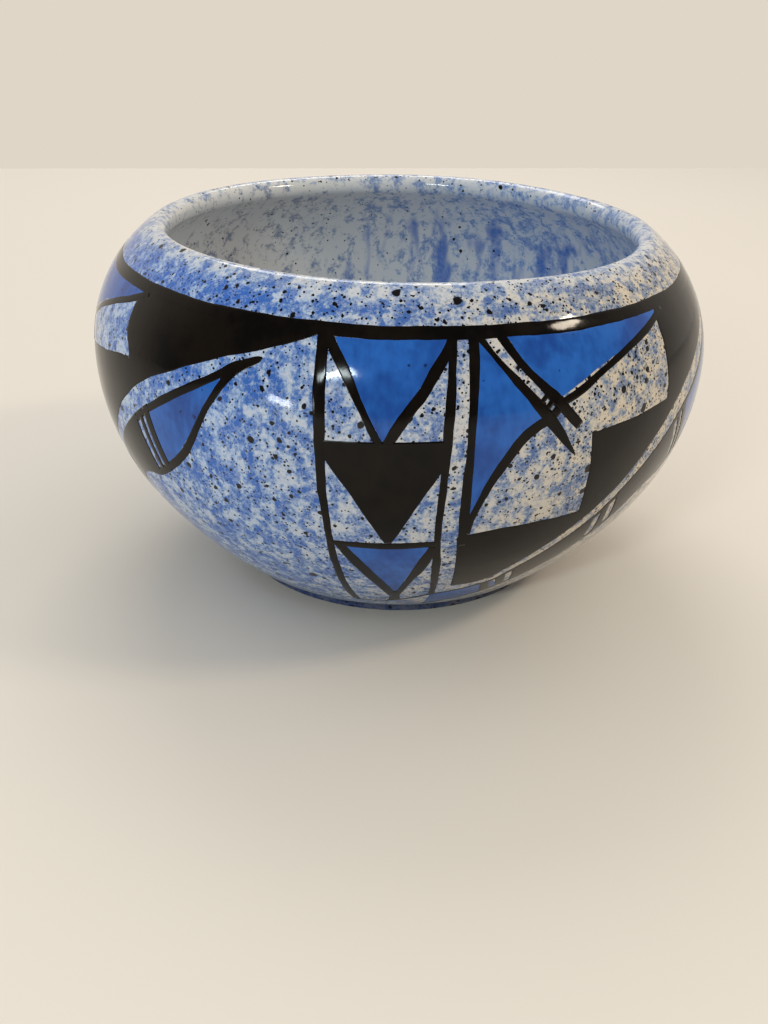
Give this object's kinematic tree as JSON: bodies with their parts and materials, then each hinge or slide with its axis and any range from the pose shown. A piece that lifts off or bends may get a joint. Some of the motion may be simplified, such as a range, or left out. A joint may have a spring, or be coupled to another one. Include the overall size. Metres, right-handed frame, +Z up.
{
  "type": "pottery jar",
  "caption": "Squat wide-mouthed pottery bowl with a thick rounded lip, full belly and low foot, and geometric ornament painted in black and blue over a speckled glaze.",
  "frame": {"origin": "centre of the foot's resting ring, on the surface the bowl stands on", "axes": "+Z up along the bowl's axis; -Y towards the painted panel of the first motif; +X to the right of it"},
  "size_m": [0.1302, 0.1304, 0.0747],
  "materials": {
    "speckled_glaze": "glossy, cream with blue blotches and dark specks",
    "black_paint": "glossy black brushwork",
    "cobalt_paint": "glossy cobalt blue brushwork"
  },
  "bodies": {
    "root": {"bowl_body": "speckled_glaze", "rim_line": "black_paint", "panel_frame_lines": "black_paint", "panel_chevron": "black_paint", "panel_pendant_outline": "black_paint", "panel_black_triangle": "black_paint", "foot_line": "black_paint", "feather_upright": "black_paint", "stepped_wing": "black_paint", "feather_shafts": "black_paint", "feather_edges": "black_paint", "leaf_band": "black_paint", "panel_blue_triangle": "cobalt_paint", "panel_blue_pendant": "cobalt_paint", "feather_blue_fields": "cobalt_paint", "leaf_blue_fields": "cobalt_paint"}
  },
  "joints": []
}
